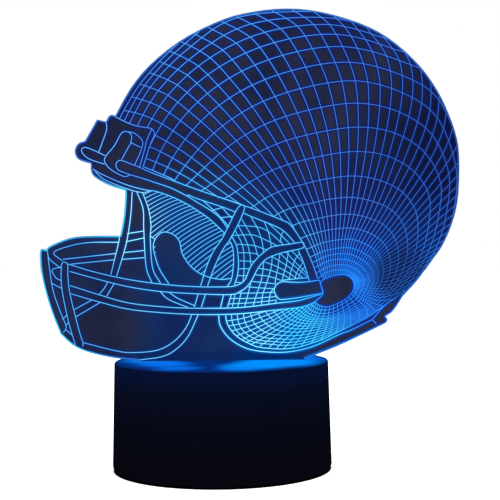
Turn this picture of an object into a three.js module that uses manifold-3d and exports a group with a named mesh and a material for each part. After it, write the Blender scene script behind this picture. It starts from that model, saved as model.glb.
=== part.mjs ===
// Edge-lit night lamp. A flat smoked-acrylic panel, cut to the outline of a football helmet, stands
// in a slot in the top of a round base. The base holds three battery cells under a hinged door, a
// row of LEDs below the panel's tongue, a control board, a power socket and a push button.
//
// Millimetres, +Z up. X runs along the panel, +X towards the back of the helmet, +Y to the rear of
// the base. The origin is on the resting surface, under the middle of the whole lamp.

import * as THREE from "three";
import { mergeVertices } from "three/addons/utils/BufferGeometryUtils.js";
import Module from "manifold-3d";

const wasm = await Module();
wasm.setup();

// ---- driving dimensions -------------------------------------------------------------------------

const GAP = 0.3; // between solids that touch on the real lamp

// base
const BASE_X = -12; // the base's axis, seen from the middle of the panel
const RIM_BOTTOM = 0.4; // lower rim, above the surface that the feet stand on
const BASE_BOTTOM = 1; // underside of the cover and the door, inside the rim
const BASE_TOP = 43.3;
const R_LOW = 44; // just above the lower round
const R_HIGH = 43; // just below the upper round
const LOWER_ROUND = 1.8;
const UPPER_ROUND = 0.7;
const WALL = 2.2;
const R_MOUTH = 37.6; // inside of the lower rim
const MOUTH_LIP = 3.7; // height at which the mouth starts to widen
const R_INNER_LOW = 41.7;
const Z_INNER_LOW = 7.4;
const R_INNER_HIGH = 40.8;
const ROUND_SEGMENTS = 64;

// panel and its tongue
const PANEL_THICKNESS = 4;
const TONGUE_HALF = 33.3;
const TONGUE_BOTTOM = 31.5;
const SLOT_HALF = 33.8;
const SLOT_WIDTH = 4.6;
const CURVE_STEPS = 3; // straight steps for each control point of the outline

// bottom cover, battery well and door
const COVER_TOP = 3.4;
const R_COVER = R_MOUTH - GAP;
const WELL_HALF_X = 28;
const WELL_HALF_Y = 22.2;
const WELL_WALL = 1.4;
const WELL_CEILING = 17.9;
const WELL_ROOF = WELL_CEILING + WELL_WALL;
const DOOR_THICKNESS = 2;
const DOOR_MARGIN = 0.4;
const DOOR_AXIS_Y = -20.8; // the hinge line, along X
const DOOR_AXIS_Z = BASE_BOTTOM + DOOR_THICKNESS / 2;
const TRUNNION_R = 0.6;
const TRUNNION_LENGTH = 1.6;
const TAB_HALF = 5;
const TAB_REACH = 2.8;
const SCREW_CIRCLE = 33;
const COVER_SCREW_ANGLES = [60, 120, 240, 300];
const BOSS_R = 3.5;
const SCREW_HOLE_R = 1.45;
const SCREW_SINK_R = 2.9;
const SCREW_SINK_DEPTH = 1.2;
const FOOT_CIRCLE = 32.6;
const FOOT_R = 3.2;
const FOOT_HEIGHT = 1.6;

// AA cells and their contacts
const CELL_PITCH = 14.6;
const CELL_R = 7.1;
const CELL_LENGTH = 50.5; // with the nub
const NUB_LENGTH = 1.3;
const NUB_R = 2.75;
const CELL_Z = 10.5;
const CONTACT_X = WELL_HALF_X - 0.4;
const CONTACT_THICKNESS = 0.4;
const CONTACT_REACH = 5.2; // from a cell's axis to the plate's edge
const SOLDER_TAB_HALF = 1.5;
const SPRING_WIRE_R = 0.3;
const SPRING_R_NEAR = 2.4;
const SPRING_R_FAR = 4.4;

// light engine
const HOLDER_BOTTOM = 28.9;
const HOLDER_TOP = BASE_TOP - WALL - GAP;
const HOLDER_HALF_X = 38;
const HOLDER_HALF_Y = 7;
const EAR_X = 18;
const EAR_Y = 11;
const EAR_TOP = HOLDER_BOTTOM + 3;
const EAR_HALF = 4;
const EAR_BOSS_R = 3.2;
const LIGHT_GAP_HALF = 31; // the opening between the LEDs and the tongue
const LED_POCKET_HALF_Y = 4.2;
const LED_POCKET_DEPTH = 1.7;
const LED_PITCH = 11;
const LED_COUNT = 6;
const LED_BOARD_TOP = HOLDER_BOTTOM - GAP;
const BOARD_THICKNESS = 1.6;
const LED_SCREW_X = 35.2;
const LED_HOLE_R = 1;
const LED_BOARD_HALF_X = 37;
const LED_BOARD_HALF_Y = 5.5;
const LED_HALF_X = 1.75;
const LED_HALF_Y = 1.4;
const LED_HEIGHT = 1.8;
const LED_CUP_R = 1.15;
const LED_CUP_DEPTH = 0.4;

// control board and what it carries
const CONTROL_BOTTOM = WELL_ROOF + 2.6;
const CONTROL_TOP = CONTROL_BOTTOM + BOARD_THICKNESS;
const POST_X = 9;
const POST_Y = 15.8;
const PORT_X = 8; // socket at -X, button at +X
const PORT_Z = 28;
const PORT_HOLE_R = 4.3;
const SOCKET_FACE = 37.4;
const SOCKET_MOUTH = 41.6;
const SOCKET_HALF_X = 4.4;
const SOCKET_BORE_R = 2.9;
const SWITCH_FACE = 35;
const SWITCH_HALF = 3.1;
const BUTTON_BACK = 36.5;
const BUTTON_FACE = 43.3;
const BUTTON_R = 3.9;
const BUTTON_FLANGE_R = 5;
const BOARD_HALF_X = 12.4;
const BOARD_NEAR_Y = 12.5;
const BOARD_FAR_Y = 35.4;
const POST_R = 2.2;
const LEAD_R = 0.5;

// ---- materials ----------------------------------------------------------------------------------

const blackAbs = { color: 0x0b0c10, roughness: 0.5, metalness: 0 };
const whiteAbs = { color: 0xe9e9e4, roughness: 0.55, metalness: 0 };
const smokedAcrylic = { color: 0x24263a, roughness: 0.08, metalness: 0 };
const boardGreen = { color: 0x1d5a34, roughness: 0.45, metalness: 0 };
const ledWhite = { color: 0xf4f7ff, roughness: 0.3, metalness: 0 };
const steel = { color: 0xb9bcc0, roughness: 0.3, metalness: 1 };
const rubber = { color: 0x1a1a1b, roughness: 0.9, metalness: 0 };
const jacket = { color: 0x2f6f8f, roughness: 0.35, metalness: 0.2 };
const redWire = { color: 0xb51f1a, roughness: 0.5, metalness: 0 };
const blackWire = { color: 0x111111, roughness: 0.5, metalness: 0 };

// ---- solids -------------------------------------------------------------------------------------

function signedVolume(positions, triangles) {
  const a = new THREE.Vector3();
  const b = new THREE.Vector3();
  const c = new THREE.Vector3();
  let sum = 0;
  for (let i = 0; i < triangles.length; i += 3) {
    a.fromArray(positions, triangles[i] * 3);
    b.fromArray(positions, triangles[i + 1] * 3);
    c.fromArray(positions, triangles[i + 2] * 3);
    sum += a.dot(b.cross(c));
  }
  return sum / 6;
}

// A closed three.js geometry as a solid that can be joined and cut.
function solid(geometry) {
  const bare = geometry.clone();
  bare.deleteAttribute("normal");
  bare.deleteAttribute("uv");
  const welded = mergeVertices(bare, 1e-4);
  const vertProperties = new Float32Array(welded.attributes.position.array);
  const triangles = [];
  const index = welded.index.array;
  for (let i = 0; i < index.length; i += 3) {
    const [a, b, c] = [index[i], index[i + 1], index[i + 2]];
    if (a !== b && b !== c && c !== a) triangles.push(a, b, c);
  }
  if (signedVolume(vertProperties, triangles) < 0) triangles.reverse();
  const triVerts = new Uint32Array(triangles);
  return new wasm.Manifold(new wasm.Mesh({ numProp: 3, vertProperties, triVerts }));
}

function geometryOf(shape) {
  const mesh = shape.getMesh();
  const positions = new Float32Array(mesh.vertProperties);
  const geometry = new THREE.BufferGeometry();
  geometry.setAttribute("position", new THREE.BufferAttribute(positions, 3));
  geometry.setIndex(new THREE.BufferAttribute(new Uint32Array(mesh.triVerts), 1));
  geometry.computeVertexNormals();
  return geometry;
}

// An axis-aligned block between two corners.
function block([x0, y0, z0], [x1, y1, z1]) {
  const geometry = new THREE.BoxGeometry(x1 - x0, y1 - y0, z1 - z0);
  geometry.translate((x0 + x1) / 2, (y0 + y1) / 2, (z0 + z1) / 2);
  return solid(geometry);
}

// A solid of revolution about a vertical axis at (x, y): the profile lists [radius, z].
function turned(profile, [x, y] = [0, 0], segments = 20) {
  const points = profile.map(([r, z]) => new THREE.Vector2(r, z));
  const geometry = new THREE.LatheGeometry(points, segments);
  geometry.rotateX(Math.PI / 2);
  geometry.translate(x, y, 0);
  return solid(geometry);
}

// A round upright bar from z0 to z1.
function bar(radius, z0, z1, centre = [0, 0], segments = 20) {
  return turned([[0, z0], [radius, z0], [radius, z1], [0, z1]], centre, segments);
}

function barAlongX(radius, x0, x1, [y, z], segments = 16) {
  const geometry = new THREE.CylinderGeometry(radius, radius, x1 - x0, segments);
  geometry.rotateZ(Math.PI / 2);
  geometry.translate((x0 + x1) / 2, y, z);
  return solid(geometry);
}

function barAlongY(radius, y0, y1, [x, z], segments = 24) {
  const geometry = new THREE.CylinderGeometry(radius, radius, y1 - y0, segments);
  geometry.translate(x, (y0 + y1) / 2, z);
  return solid(geometry);
}

// A rounded rectangle about the origin, raised from z0 to z1.
function roundedBlock(halfX, halfY, corner, z0, z1) {
  const shape = new THREE.Shape();
  shape.moveTo(halfX, -halfY + corner);
  shape.lineTo(halfX, halfY - corner);
  shape.absarc(halfX - corner, halfY - corner, corner, 0, Math.PI / 2);
  shape.absarc(-halfX + corner, halfY - corner, corner, Math.PI / 2, Math.PI);
  shape.absarc(-halfX + corner, -halfY + corner, corner, Math.PI, 1.5 * Math.PI);
  shape.absarc(halfX - corner, -halfY + corner, corner, 1.5 * Math.PI, 2 * Math.PI);
  const options = { depth: z1 - z0, bevelEnabled: false, curveSegments: 5 };
  const geometry = new THREE.ExtrudeGeometry(shape, options);
  geometry.translate(0, 0, z0);
  return solid(geometry);
}

// A round wire along a smooth path through the given points.
function wire(points, radius, steps, sides = 6) {
  const path = new THREE.CatmullRomCurve3(points.map((p) => new THREE.Vector3(...p)));
  const section = new THREE.Shape();
  for (let i = 0; i < sides; i++) {
    const angle = (2 * Math.PI * i) / sides;
    const [x, y] = [radius * Math.cos(angle), radius * Math.sin(angle)];
    if (i === 0) section.moveTo(x, y);
    else section.lineTo(x, y);
  }
  const options = { steps, extrudePath: path, bevelEnabled: false };
  return solid(new THREE.ExtrudeGeometry(section, options));
}

function polar(radius, degrees) {
  const angle = THREE.MathUtils.degToRad(degrees);
  return [radius * Math.cos(angle), radius * Math.sin(angle)];
}

// Points [radius, z] on a quarter round, both ends included.
function roundPoints([r, z], radius, fromDegrees, toDegrees, steps) {
  return Array.from({ length: steps + 1 }, (_, i) => {
    const [dr, dz] = polar(radius, fromDegrees + ((toDegrees - fromDegrees) * i) / steps);
    return [r + dr, z + dz];
  });
}

// A pan-head screw pointing up, its head below the seat height, with a cross recess.
function screw([x, y], seat, { headR, headHeight, shankR, length }) {
  const low = seat - headHeight;
  const profile = [
    [0, low], [headR * 0.82, low], [headR, low + headHeight * 0.45], [headR, seat],
    [shankR, seat], [shankR, seat + length - shankR], [0, seat + length],
  ];
  const depth = headHeight * 0.55;
  const [arm, half] = [headR * 0.55, headR * 0.12];
  return turned(profile, [x, y], 16)
    .subtract(block([x - arm, y - half, low - 1], [x + arm, y + half, low + depth]))
    .subtract(block([x - half, y - arm, low - 1], [x + half, y + arm, low + depth]));
}

// ---- the assembly -------------------------------------------------------------------------------

const lamp = new THREE.Group();
const base = new THREE.Group();
base.position.x = BASE_X;
lamp.add(base);

function addTo(group, name, shape, look) {
  const mesh = new THREE.Mesh(geometryOf(shape), new THREE.MeshStandardMaterial(look));
  mesh.name = name;
  group.add(mesh);
}

// The panel's outline, from the tongue's left shoulder round the mask, brow, shell and jaw. Each
// run is one smooth curve, and the outline has a corner where one run meets the next.
const OUTLINE_RUNS = [
  // underside of the face mask's lowest bar
  [[-45.3, 43.7], [-54.8, 44.6], [-65.6, 47.1], [-71.7, 50], [-76.6, 54.5]],
  // front bar of the mask
  [[-76.6, 54.5], [-80.3, 64.2], [-83, 73.9], [-84.2, 80.5], [-84.5, 86]],
  // its rounded upper end
  [[-84.5, 86], [-84.2, 88.4], [-83.2, 88.9], [-82, 88.4]],
  // upper rim of the mask
  [[-82, 88.4], [-80.4, 90], [-73.8, 92.7], [-68.2, 93.7], [-60, 93.9], [-52.1, 93.8]],
  // front strut
  [[-52.1, 93.8], [-50.5, 102.4], [-49.8, 111.9]],
  // lower edge of the brow guard
  [[-49.8, 111.9], [-56.1, 114], [-61.9, 117.3], [-63.5, 119.9], [-63.6, 122.9]],
  // its rounded nose
  [[-63.6, 122.9], [-68.6, 124.7], [-70, 128], [-68.6, 131], [-65.9, 132]],
  // brow plate
  [[-65.9, 132], [-60.9, 140.6]],
  [[-60.9, 140.6], [-57.3, 139.8]],
  [[-57.3, 139.8], [-56.3, 141.7], [-55, 142.5], [-53.6, 142]],
  // shell, over the crown and down the back of the head
  [[-53.6, 142], [-47.1, 153.3], [-38.7, 163], [-26.2, 172.5], [-10.9, 179.9], [1.3, 183.1],
    [15.4, 184.4], [29.5, 182.9], [45.6, 178], [57.4, 171.5], [68.2, 161.7], [75.3, 152],
    [80.1, 142.2], [83.6, 131.6], [84.5, 122], [83.9, 108.4], [81.8, 98.7], [77.6, 88.9],
    [72.5, 81.7], [67.2, 74.5], [61.3, 68.2]],
  // neck roll
  [[61.3, 68.2], [59.2, 64.9], [56.8, 61.8], [54.3, 60.2]],
  [[54.3, 60.2], [55.1, 59], [54.4, 57.6], [52.5, 56.6]],
  // jaw line, down to the tongue's right shoulder
  [[52.5, 56.6], [44.9, 53], [34.5, 48.3], [21.3, 43.3]],
];

function acrylicPanel() {
  const shape = new THREE.Shape();
  shape.moveTo(...OUTLINE_RUNS[0][0]);
  for (const run of OUTLINE_RUNS) {
    const rest = run.slice(1).map((p) => new THREE.Vector2(...p));
    if (rest.length === 1) shape.lineTo(rest[0].x, rest[0].y);
    else shape.splineThru(rest);
  }
  shape.lineTo(BASE_X + TONGUE_HALF, TONGUE_BOTTOM);
  shape.lineTo(BASE_X - TONGUE_HALF, TONGUE_BOTTOM);
  const options = { depth: PANEL_THICKNESS, bevelEnabled: false, curveSegments: CURVE_STEPS };
  const geometry = new THREE.ExtrudeGeometry(shape, options);
  geometry.rotateX(Math.PI / 2);
  geometry.translate(0, PANEL_THICKNESS / 2, 0);
  return solid(geometry);
}

// A cup, open below, with the panel slot in its top, screw bosses and the two rear ports.
function baseHousing() {
  const profile = [
    [0, BASE_TOP],
    ...roundPoints([R_HIGH - UPPER_ROUND, BASE_TOP - UPPER_ROUND], UPPER_ROUND, 90, 0, 3),
    ...roundPoints([R_LOW - LOWER_ROUND, RIM_BOTTOM + LOWER_ROUND], LOWER_ROUND, 0, -90, 5),
    [R_MOUTH, RIM_BOTTOM],
    [R_MOUTH, MOUTH_LIP],
    [R_INNER_LOW, Z_INNER_LOW],
    [R_INNER_HIGH, BASE_TOP - WALL],
    [0, BASE_TOP - WALL],
  ];
  let cup = turned(profile, [0, 0], ROUND_SEGMENTS);
  const under = BASE_TOP - WALL / 2;
  for (const degrees of COVER_SCREW_ANGLES) {
    const at = polar(SCREW_CIRCLE, degrees);
    cup = cup.add(bar(BOSS_R, MOUTH_LIP, under, at));
    cup = cup.subtract(bar(SCREW_HOLE_R, MOUTH_LIP - 1, MOUTH_LIP + 10, at, 12));
  }
  for (const side of [-1, 1]) {
    const at = [side * EAR_X, -side * EAR_Y];
    cup = cup.add(bar(EAR_BOSS_R, EAR_TOP + GAP, under, at));
    cup = cup.subtract(bar(SCREW_HOLE_R, EAR_TOP - 1, BASE_TOP - WALL - 1, at, 12));
    cup = cup.subtract(barAlongY(PORT_HOLE_R, R_COVER - 1, R_LOW + 1, [side * PORT_X, PORT_Z]));
  }
  const half = SLOT_WIDTH / 2;
  const slotLow = [-SLOT_HALF, -half, BASE_TOP - WALL - 1];
  return cup.subtract(block(slotLow, [SLOT_HALF, half, BASE_TOP + 1]));
}

// A disc that closes the base, with the battery well standing on it.
function bottomCover() {
  const [outerX, outerY] = [WELL_HALF_X + WELL_WALL, WELL_HALF_Y + WELL_WALL];
  let cover = bar(R_COVER, BASE_BOTTOM, COVER_TOP, [0, 0], ROUND_SEGMENTS)
    .add(roundedBlock(outerX, outerY, 4, BASE_BOTTOM + 0.5, WELL_ROOF));
  for (const side of [-1, 1]) {
    const at = [side * POST_X, POST_Y];
    cover = cover.add(bar(POST_R, WELL_ROOF - 0.5, CONTROL_BOTTOM - GAP, at, 16));
    cover = cover.subtract(bar(1.05, WELL_ROOF + 0.3, CONTROL_BOTTOM, at, 12));
    // slots that the terminals' solder tabs come up through
    const [x, y] = [side * CONTACT_X - side * CONTACT_THICKNESS / 2, side * CELL_PITCH];
    const low = [x - 0.7, y - 1.9, WELL_CEILING - 0.5];
    cover = cover.subtract(block(low, [x + 0.7, y + 1.9, WELL_ROOF + 1]));
  }
  cover = cover.subtract(roundedBlock(WELL_HALF_X, WELL_HALF_Y, 1, BASE_BOTTOM - 1, WELL_CEILING));
  const holeReach = WELL_HALF_X + TRUNNION_LENGTH + 0.3;
  const hingeAxis = [DOOR_AXIS_Y, DOOR_AXIS_Z];
  cover = cover.subtract(barAlongX(TRUNNION_R + 0.1, -holeReach, holeReach, hingeAxis));
  // thumb notch in front of the door's tab
  const notchLow = [-TAB_HALF - 0.4, WELL_HALF_Y - 1, BASE_BOTTOM - 1];
  cover = cover.subtract(block(notchLow, [TAB_HALF + 0.4, WELL_HALF_Y + 5, BASE_BOTTOM + 1.3]));
  for (const degrees of COVER_SCREW_ANGLES) {
    const at = polar(SCREW_CIRCLE, degrees);
    cover = cover.subtract(bar(SCREW_SINK_R, BASE_BOTTOM - 1, BASE_BOTTOM + SCREW_SINK_DEPTH, at));
    cover = cover.subtract(bar(SCREW_HOLE_R, BASE_BOTTOM - 1, COVER_TOP + 1, at, 12));
  }
  for (const degrees of [0, 90, 180, 270]) {
    const at = polar(FOOT_CIRCLE, degrees);
    cover = cover.subtract(bar(FOOT_R + GAP, BASE_BOTTOM - 1, FOOT_HEIGHT + GAP, at));
  }
  return cover;
}

// A plate with a round hinge edge, two trunnions and a thumb tab.
function batteryDoor() {
  const [halfX, farY] = [WELL_HALF_X - DOOR_MARGIN, WELL_HALF_Y - DOOR_MARGIN];
  const axis = [DOOR_AXIS_Y, DOOR_AXIS_Z];
  const low = [-halfX, DOOR_AXIS_Y, BASE_BOTTOM];
  const tabLow = [-TAB_HALF, farY - 1, BASE_BOTTOM];
  const reach = halfX + TRUNNION_LENGTH;
  return block(low, [halfX, farY, BASE_BOTTOM + DOOR_THICKNESS])
    .add(barAlongX(DOOR_THICKNESS / 2, -halfX, halfX, axis))
    .add(barAlongX(TRUNNION_R, -reach, reach, axis, 12))
    .add(block(tabLow, [TAB_HALF, farY + TAB_REACH, BASE_BOTTOM + 1]));
}

function foot(at) {
  const profile = [
    [0, 0], [FOOT_R - 0.4, 0], [FOOT_R, 0.4], [FOOT_R, FOOT_HEIGHT], [0, FOOT_HEIGHT],
  ];
  return turned(profile, at);
}

// One AA cell along X; side +1 points its nub to +X.
function cell(y, side) {
  const nubEnd = CONTACT_X - CONTACT_THICKNESS - GAP;
  const [body, nub] = [CELL_LENGTH - NUB_LENGTH, nubEnd - NUB_LENGTH];
  const profile = [
    [0, nub - body], [CELL_R - 0.5, nub - body], [CELL_R, nub - body + 0.5],
    [CELL_R, nub - 0.5], [CELL_R - 0.5, nub], [NUB_R, nub], [NUB_R, nubEnd], [0, nubEnd],
  ];
  const points = profile.map(([r, z]) => new THREE.Vector2(r, z));
  const geometry = new THREE.LatheGeometry(points, 24);
  geometry.rotateZ(-side * Math.PI / 2);
  geometry.translate(0, y, CELL_Z);
  return solid(geometry);
}

// A conical coil between a cell's flat end and its contact plate.
function batterySpring(y, side) {
  const nubEnd = CONTACT_X - CONTACT_THICKNESS - GAP;
  const cellEnd = CELL_LENGTH - nubEnd;
  const [near, far] = [cellEnd + GAP + SPRING_WIRE_R, nubEnd - SPRING_WIRE_R];
  const [turns, stepsPerTurn] = [3, 10];
  const points = Array.from({ length: turns * stepsPerTurn + 1 }, (_, i) => {
    const share = i / (turns * stepsPerTurn);
    const radius = SPRING_R_NEAR + (SPRING_R_FAR - SPRING_R_NEAR) * share;
    const angle = 2 * Math.PI * turns * share;
    const x = near + (far - near) * share;
    return [side * x, y + radius * Math.cos(angle), CELL_Z + radius * Math.sin(angle)];
  });
  return wire(points, SPRING_WIRE_R, turns * stepsPerTurn);
}

// A flat contact behind one or two cells, with a solder tab if it is a terminal.
function contactPlate(y0, y1, side, isTerminal) {
  const [inner, outer] = [CONTACT_X - CONTACT_THICKNESS, CONTACT_X].map((x) => side * x);
  const [x0, x1] = [Math.min(inner, outer), Math.max(inner, outer)];
  const low = [x0, y0 - CONTACT_REACH, CELL_Z - CONTACT_REACH];
  const plate = block(low, [x1, y1 + CONTACT_REACH, CELL_Z + CONTACT_REACH]);
  if (!isTerminal) return plate;
  const tabLow = [x0, y0 - SOLDER_TAB_HALF, CELL_Z];
  return plate.add(block(tabLow, [x1, y0 + SOLDER_TAB_HALF, WELL_ROOF + 1.8]));
}

// The bracket under the base's top: it guides the tongue and holds the LEDs in its lower pocket.
function ledHolder() {
  const half = SLOT_WIDTH / 2;
  const ledge = TONGUE_BOTTOM - GAP;
  const under = HOLDER_BOTTOM - 1;
  const low = [-HOLDER_HALF_X, -HOLDER_HALF_Y, HOLDER_BOTTOM];
  let holder = block(low, [HOLDER_HALF_X, HOLDER_HALF_Y, HOLDER_TOP]);
  for (const side of [-1, 1]) {
    const [x, y] = [side * EAR_X, -side * EAR_Y];
    const [y0, y1] = [Math.min(0, y), Math.max(0, y)];
    holder = holder.add(bar(EAR_HALF, HOLDER_BOTTOM, EAR_TOP, [x, y]));
    holder = holder.add(block([x - EAR_HALF, y0, HOLDER_BOTTOM], [x + EAR_HALF, y1, EAR_TOP]));
    holder = holder.subtract(bar(SCREW_HOLE_R, under, EAR_TOP + 1, [x, y], 12));
    const ledScrewAt = [side * LED_SCREW_X, 0];
    holder = holder.subtract(bar(LED_HOLE_R, under, HOLDER_BOTTOM + 5, ledScrewAt, 12));
  }
  const [openX, pocketY] = [LIGHT_GAP_HALF, LED_POCKET_HALF_Y];
  return holder
    .subtract(block([-SLOT_HALF, -half, ledge], [SLOT_HALF, half, HOLDER_TOP + 1]))
    .subtract(block([-openX, -half, under], [openX, half, ledge + 0.5]))
    .subtract(block([-openX, -pocketY, under], [openX, pocketY, HOLDER_BOTTOM + LED_POCKET_DEPTH]));
}

function ledBoard() {
  const low = [-LED_BOARD_HALF_X, -LED_BOARD_HALF_Y, LED_BOARD_TOP - BOARD_THICKNESS];
  let board = block(low, [LED_BOARD_HALF_X, LED_BOARD_HALF_Y, LED_BOARD_TOP]);
  for (const side of [-1, 1]) {
    const at = [side * LED_SCREW_X, 0];
    board = board.subtract(bar(LED_HOLE_R, LED_BOARD_TOP - 3, LED_BOARD_TOP + 1, at, 12));
  }
  return board;
}

// A surface-mounted LED facing up, with the shallow round cup over its die.
function led(x) {
  const low = LED_BOARD_TOP + GAP;
  const high = low + LED_HEIGHT;
  return block([x - LED_HALF_X, -LED_HALF_Y, low], [x + LED_HALF_X, LED_HALF_Y, high])
    .subtract(bar(LED_CUP_R, high - LED_CUP_DEPTH, high + 1, [x, 0], 12));
}

function controlBoard() {
  const low = [-BOARD_HALF_X, BOARD_NEAR_Y, CONTROL_BOTTOM];
  let board = block(low, [BOARD_HALF_X, BOARD_FAR_Y, CONTROL_TOP]);
  for (const side of [-1, 1]) {
    const at = [side * POST_X, POST_Y];
    board = board.subtract(bar(1.1, CONTROL_BOTTOM - 1, CONTROL_TOP + 1, at, 12));
  }
  return board;
}

// The control board's screws point down, so each is the upward screw turned over.
function boardScrew(side) {
  const seat = CONTROL_TOP + GAP;
  const size = { headR: 1.9, headHeight: 0.8, shankR: 0.75, length: 3.4 };
  const geometry = geometryOf(screw([0, 0], 0, size));
  geometry.rotateX(Math.PI);
  geometry.translate(side * POST_X, POST_Y, seat);
  return solid(geometry);
}

// A barrel socket: body, round collar in the port, and a deep bore round the centre pin.
function powerSocket() {
  const at = [-PORT_X, PORT_Z];
  const low = [-PORT_X - SOCKET_HALF_X, 25, CONTROL_TOP + GAP];
  return block(low, [-PORT_X + SOCKET_HALF_X, SOCKET_FACE, PORT_Z + 4.2])
    .add(barAlongY(PORT_HOLE_R - GAP, SOCKET_FACE - 1, SOCKET_MOUTH, at))
    .subtract(barAlongY(SOCKET_BORE_R, 28.5, SOCKET_MOUTH + 1, at));
}

// The switch that the push button works, with the recess its plunger slides in.
function modeSwitch() {
  const low = [PORT_X - SWITCH_HALF, SWITCH_FACE - 3.6, CONTROL_TOP + GAP];
  return block(low, [PORT_X + SWITCH_HALF, SWITCH_FACE, PORT_Z + SWITCH_HALF])
    .subtract(barAlongY(2, SWITCH_FACE - 1.7, SWITCH_FACE + 1, [PORT_X, PORT_Z], 16));
}

// A cap with a domed edge and a flange that keeps it in its port.
function pushButton() {
  const profile = [
    [0, BUTTON_BACK], [BUTTON_FLANGE_R, BUTTON_BACK], [BUTTON_FLANGE_R, BUTTON_BACK + 1.1],
    [BUTTON_R, BUTTON_BACK + 1.1], [BUTTON_R, BUTTON_FACE - 0.6],
    [BUTTON_R - 0.5, BUTTON_FACE - 0.1], [0, BUTTON_FACE],
  ];
  const points = profile.map(([r, y]) => new THREE.Vector2(r, y));
  const geometry = new THREE.LatheGeometry(points, 28);
  geometry.translate(PORT_X, 0, PORT_Z);
  return solid(geometry);
}

addTo(lamp, "acrylic_panel", acrylicPanel(), smokedAcrylic);

addTo(base, "base_housing", baseHousing(), blackAbs);
addTo(base, "bottom_cover", bottomCover(), blackAbs);
addTo(base, "battery_door", batteryDoor(), blackAbs);

[0, 90, 180, 270].forEach((degrees, i) => {
  addTo(base, `foot_${i + 1}`, foot(polar(FOOT_CIRCLE, degrees)), rubber);
});
COVER_SCREW_ANGLES.forEach((degrees, i) => {
  const size = { headR: 2.5, headHeight: 0.8, shankR: 1.15, length: 9 };
  const seat = BASE_BOTTOM + 0.9;
  addTo(base, `cover_screw_${i + 1}`, screw(polar(SCREW_CIRCLE, degrees), seat, size), steel);
});

[-1, 0, 1].forEach((row, i) => {
  const [y, nubSide] = [row * CELL_PITCH, row === 0 ? -1 : 1];
  addTo(base, `battery_cell_${i + 1}`, cell(y, nubSide), jacket);
  addTo(base, `battery_spring_${i + 1}`, batterySpring(y, -nubSide), steel);
});
addTo(base, "contact_plate_1", contactPlate(-CELL_PITCH, -CELL_PITCH, -1, true), steel);
addTo(base, "contact_plate_2", contactPlate(-CELL_PITCH, 0, 1, false), steel);
addTo(base, "contact_plate_3", contactPlate(0, CELL_PITCH, -1, false), steel);
addTo(base, "contact_plate_4", contactPlate(CELL_PITCH, CELL_PITCH, 1, true), steel);

addTo(base, "led_holder", ledHolder(), whiteAbs);
addTo(base, "led_board", ledBoard(), whiteAbs);
for (let i = 0; i < LED_COUNT; i++) {
  addTo(base, `led_${i + 1}`, led((i - (LED_COUNT - 1) / 2) * LED_PITCH), ledWhite);
}
[-1, 1].forEach((side, i) => {
  const holderSize = { headR: 2.4, headHeight: 1.2, shankR: 1.1, length: 8.6 };
  const holderAt = [side * EAR_X, -side * EAR_Y];
  addTo(base, `holder_screw_${i + 1}`, screw(holderAt, HOLDER_BOTTOM - GAP, holderSize), steel);
  const boardSize = { headR: 1.5, headHeight: 0.8, shankR: 0.7, length: 6 };
  const seat = LED_BOARD_TOP - BOARD_THICKNESS - GAP;
  addTo(base, `led_board_screw_${i + 1}`, screw([side * LED_SCREW_X, 0], seat, boardSize), steel);
  addTo(base, `board_screw_${i + 1}`, boardScrew(side), steel);
});

addTo(base, "control_board", controlBoard(), boardGreen);
const chipLow = [-2.5, 22, CONTROL_TOP + GAP];
addTo(base, "control_chip", block(chipLow, [2.5, 26, CONTROL_TOP + 1.9]), blackAbs);
addTo(base, "power_socket", powerSocket(), blackAbs);
addTo(base, "socket_pin", barAlongY(1, 28.8, SOCKET_MOUTH - 1, [-PORT_X, PORT_Z], 16), steel);
addTo(base, "mode_switch", modeSwitch(), blackAbs);
const plunger = barAlongY(1.7, SWITCH_FACE - 1.1, BUTTON_BACK - GAP, [PORT_X, PORT_Z], 16);
addTo(base, "switch_plunger", plunger, whiteAbs);
addTo(base, "push_button", pushButton(), blackAbs);

[["led_lead_red", -4, redWire], ["led_lead_black", 4, blackWire]].forEach(([name, x, look]) => {
  const route = [[x, 3.5, 26.2], [x, 7.5, 25.7], [x * 0.9, 11.5, 25.4], [x * 0.8, 14.4, 24.5]];
  addTo(base, name, wire(route, LEAD_R, 10), look);
});
const positiveRoute = [[26.2, 14.6, 20.4], [22, 15.6, 20.9], [16, 18, 23], [10.6, 21, 24.5]];
const negativeRoute = [
  [-26.2, -14.6, 20.4], [-24, -8, 20.6], [-21, 4, 20.9], [-16, 14, 23], [-10.6, 21, 24.5],
];
addTo(base, "battery_lead_red", wire(positiveRoute, LEAD_R, 12), redWire);
addTo(base, "battery_lead_black", wire(negativeRoute, LEAD_R, 16), blackWire);

export default lamp;
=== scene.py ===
"""Edge-lit night lamp: the looks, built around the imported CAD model.

The acrylic panel carries an engraved drawing of a football helmet. Every engraved line is a thin
closed ridge on both faces of the panel. The drawing is given in millimetres in the panel's own
plane, [x, z], and everything made from it is in metres.
"""

import math

import bpy
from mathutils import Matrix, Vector, kdtree


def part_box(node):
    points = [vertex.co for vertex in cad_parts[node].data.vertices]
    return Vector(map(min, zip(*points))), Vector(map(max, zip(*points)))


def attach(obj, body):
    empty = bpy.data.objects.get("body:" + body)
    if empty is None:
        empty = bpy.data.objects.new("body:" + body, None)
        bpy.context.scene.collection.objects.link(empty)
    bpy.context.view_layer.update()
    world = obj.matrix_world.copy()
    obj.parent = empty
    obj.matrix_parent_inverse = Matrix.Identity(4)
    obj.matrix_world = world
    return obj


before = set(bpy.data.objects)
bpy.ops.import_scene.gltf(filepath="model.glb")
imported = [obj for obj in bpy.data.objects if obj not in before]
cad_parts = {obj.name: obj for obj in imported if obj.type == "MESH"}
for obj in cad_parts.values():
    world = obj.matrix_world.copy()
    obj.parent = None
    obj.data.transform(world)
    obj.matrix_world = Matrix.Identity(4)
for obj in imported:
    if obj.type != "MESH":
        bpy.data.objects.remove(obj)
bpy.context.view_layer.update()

MM = 0.001
panel_low, panel_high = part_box("acrylic_panel")
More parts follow.
